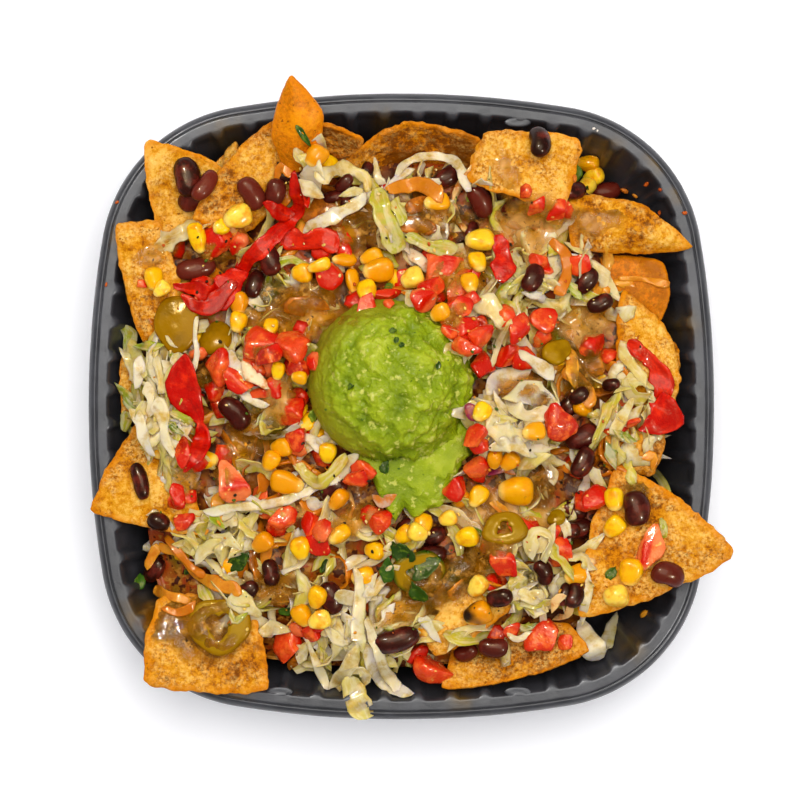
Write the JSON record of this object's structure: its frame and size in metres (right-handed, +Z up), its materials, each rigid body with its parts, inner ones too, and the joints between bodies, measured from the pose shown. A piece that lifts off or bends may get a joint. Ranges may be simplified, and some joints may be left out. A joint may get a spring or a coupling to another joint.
{
  "type": "tray of nachos",
  "caption": "Square moulded food tray with a flat flange, heaped with corn chips, beans, corn, diced tomato, pepper strips and shreds under a scoop of mashed avocado.",
  "frame": {"origin": "centre of the tray's flat underside", "axes": "+Z up out of the tray's mouth; +X and +Y along the tray's two sides, with the guacamole's flap lying towards -Y"},
  "size_m": [0.2356, 0.2346, 0.0846],
  "materials": {
    "tray": "satin",
    "corn_chip": "matte",
    "fried_corn_chip": "satin",
    "small_toppings": "satin",
    "guacamole": "satin",
    "black_bean": "satin",
    "tomato": "gloss",
    "sweet_corn": "satin",
    "red_pepper": "gloss",
    "cooked_onion": "gloss",
    "jalapeno": "gloss"
  },
  "bodies": {
    "root": {"bean_01": "black_bean", "bean_02": "black_bean", "bean_03": "black_bean", "bean_04": "black_bean", "bean_05": "black_bean", "bean_06": "black_bean", "bean_07": "black_bean", "bean_08": "black_bean", "bean_09": "black_bean", "bean_10": "black_bean", "bean_11": "black_bean", "bean_12": "black_bean", "bean_13": "black_bean", "bean_14": "black_bean", "bean_15": "black_bean", "bean_16": "black_bean", "bean_17": "black_bean", "chip_01": "fried_corn_chip", "chip_02": "corn_chip", "chip_03": "corn_chip", "chip_04": "corn_chip", "chip_05": "corn_chip", "chip_06": "fried_corn_chip", "chip_07": "corn_chip", "chip_08": "corn_chip", "chip_09": "corn_chip", "chip_10": "corn_chip", "chip_11": "corn_chip", "chip_12": "corn_chip", "chip_13": "corn_chip", "chip_14": "corn_chip", "chip_15": "corn_chip", "chip_16": "corn_chip", "chip_17": "corn_chip", "chip_18": "corn_chip", "chip_19": "corn_chip", "corn_kernel_01": "sweet_corn", "corn_kernel_02": "sweet_corn", "corn_kernel_03": "sweet_corn", "corn_kernel_04": "sweet_corn", "corn_kernel_05": "sweet_corn", "guacamole": "guacamole", "jalapeno_slice_01": "jalapeno", "jalapeno_slice_02": "jalapeno", "jalapeno_slice_03": "jalapeno", "jalapeno_slice_04": "jalapeno", "onion_arc_01": "cooked_onion", "onion_arc_02": "cooked_onion", "pepper_strip_01": "red_pepper", "pepper_strip_02": "red_pepper", "pepper_strip_03": "red_pepper", "pepper_strip_04": "red_pepper", "tomato_dice_01": "tomato", "tomato_dice_02": "tomato", "tomato_dice_03": "tomato", "tomato_dice_04": "tomato", "tomato_dice_05": "tomato", "topping_heap": "small_toppings", "tray": "tray"}
  },
  "joints": []
}
